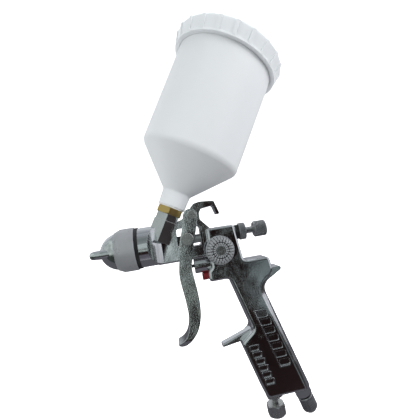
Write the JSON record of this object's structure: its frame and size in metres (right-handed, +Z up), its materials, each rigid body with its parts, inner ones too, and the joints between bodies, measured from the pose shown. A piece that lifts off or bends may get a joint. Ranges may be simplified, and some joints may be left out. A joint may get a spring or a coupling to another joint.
{
  "type": "gravity feed spray gun",
  "caption": "Chrome gravity-feed HVLP spray gun with a tilted white plastic cup, trigger, pattern dial, fluid knob, hook and air inlet with regulator.",
  "frame": {"origin": "centre of the air inlet's mouth, where a hose coupling screws in", "axes": "+Z up along the inlet axis towards the spray head, -X the way the gun sprays, +Y across the gun; the pattern dial is on the -Y side"},
  "size_m": [0.1996, 0.1082, 0.3735],
  "materials": {
    "chrome_casting": "polished chrome plate on a die casting",
    "satin_chrome": "chrome plate, slightly satin",
    "polished_chrome": "polished chrome plate",
    "plated_steel": "nickel plated, turned",
    "grey_anodised": "bead blasted grey anodised",
    "dark_plated": "dark nickel plated, knurled",
    "stainless": "turned stainless steel",
    "brass": "turned brass",
    "black_rubber": "matte rubber",
    "white_seal": "fluoropolymer",
    "cup_plastic": "translucent polyethylene, satin",
    "lid_plastic": "polyethylene, satin",
    "strainer_plastic": "moulded nylon",
    "red_plastic": "moulded"
  },
  "bodies": {
    "gun": {"gun_body": "chrome_casting", "barrel_seal_band": "black_rubber", "fluid_nozzle": "stainless", "air_baffle": "brass", "nozzle_gasket": "white_seal", "needle_packing": "white_seal", "needle_packing_gland": "plated_steel", "needle_spring": "stainless", "needle_guide": "plated_steel", "pivot_screw": "plated_steel", "pivot_nut": "plated_steel", "air_valve_seat": "brass", "air_valve_gland": "plated_steel", "air_valve_packing": "white_seal", "air_valve_spring": "stainless", "gallery_plug": "red_plastic", "dial_gland": "brass", "dial_seal_ring": "black_rubber", "inlet_tailpiece": "plated_steel", "inlet_seal_washer": "black_rubber", "regulator_gland": "dark_plated", "regulator_seal_ring": "black_rubber"},
    "cap": {"air_cap": "polished_chrome"},
    "ring": {"air_cap_retaining_ring": "grey_anodised"},
    "needle": {"fluid_needle": "stainless", "needle_sleeve": "stainless"},
    "knob": {"fluid_knob": "dark_plated"},
    "nut": {"locknut": "dark_plated"},
    "trigger_lever": {"trigger": "satin_chrome", "needle_catch_screws": "plated_steel"},
    "valve": {"air_valve_stem": "stainless", "air_valve_disc": "brass"},
    "dial": {"pattern_dial": "grey_anodised", "dial_screw": "plated_steel", "dial_spindle": "stainless"},
    "cup": {"paint_cup": "cup_plastic", "cup_connector": "brass", "cup_gasket": "white_seal", "cup_strainer": "strainer_plastic"},
    "lid": {"cup_lid": "lid_plastic", "lid_vent_plug": "lid_plastic"},
    "swivel": {"inlet_swivel_nut": "plated_steel"},
    "regulator": {"regulator_knob": "dark_plated", "regulator_spindle": "stainless"}
  },
  "joints": [
    {"name": "trigger_pull", "type": "hinge", "parent": "gun", "child": "trigger_lever", "pos_m": [-0.0498, 0, 0.193], "axis": [0, -1, 0], "range_deg": [0, 10], "stiffness_Nm_per_rad": 1, "springref_deg": -11.46},
    {"name": "needle_slide", "type": "slide", "parent": "gun", "child": "needle", "axis": [1, 0, 0], "range_m": [0, 0.0038], "deforming": ["needle_spring"]},
    {"name": "valve_slide", "type": "slide", "parent": "gun", "child": "valve", "axis": [1, 0, 0], "range_m": [0, 0.0081], "deforming": ["air_valve_spring"]},
    {"name": "fluid_knob_turn", "type": "hinge", "parent": "gun", "child": "knob", "pos_m": [0.012, 0, 0.171], "axis": [1, 0, 0], "range_deg": [0, 720]},
    {"name": "locknut_turn", "type": "hinge", "parent": "gun", "child": "nut", "pos_m": [-0.005, 0, 0.171], "axis": [1, 0, 0], "range_deg": [0, 360]},
    {"name": "air_cap_turn", "type": "hinge", "parent": "gun", "child": "cap", "pos_m": [-0.125, 0, 0.171], "axis": [1, 0, 0], "range_deg": [-90, 90]},
    {"name": "retaining_ring_turn", "type": "hinge", "parent": "gun", "child": "ring", "pos_m": [-0.112, 0, 0.171], "axis": [1, 0, 0], "range_deg": [0, 360]},
    {"name": "pattern_dial_turn", "type": "hinge", "parent": "gun", "child": "dial", "pos_m": [-0.0298, 0, 0.158], "axis": [0, -1, 0], "range_deg": [0, 270]},
    {"name": "cup_turn", "type": "hinge", "parent": "gun", "child": "cup", "pos_m": [-0.085, 0, 0.171], "axis": [0.4909, 0, 0.8712], "range_deg": [0, 360]},
    {"name": "lid_turn", "type": "hinge", "parent": "cup", "child": "lid", "pos_m": [-0.085, 0, 0.171], "axis": [0.4909, 0, 0.8712], "range_deg": [0, 360]},
    {"name": "swivel_nut_spin", "type": "hinge", "parent": "gun", "child": "swivel", "pos_m": [0, 0, 0.005], "axis": [0, 0, 1], "continuous": true},
    {"name": "regulator_turn", "type": "hinge", "parent": "gun", "child": "regulator", "pos_m": [0.02588, 0, 0.021], "axis": [0.279, 0, -0.9603], "range_deg": [0, 720]}
  ],
  "couplings": [
    {"joint": "needle_slide", "follows": "trigger_pull", "m_per_rad": 0.0215},
    {"joint": "valve_slide", "follows": "trigger_pull", "m_per_rad": 0.0458}
  ]
}
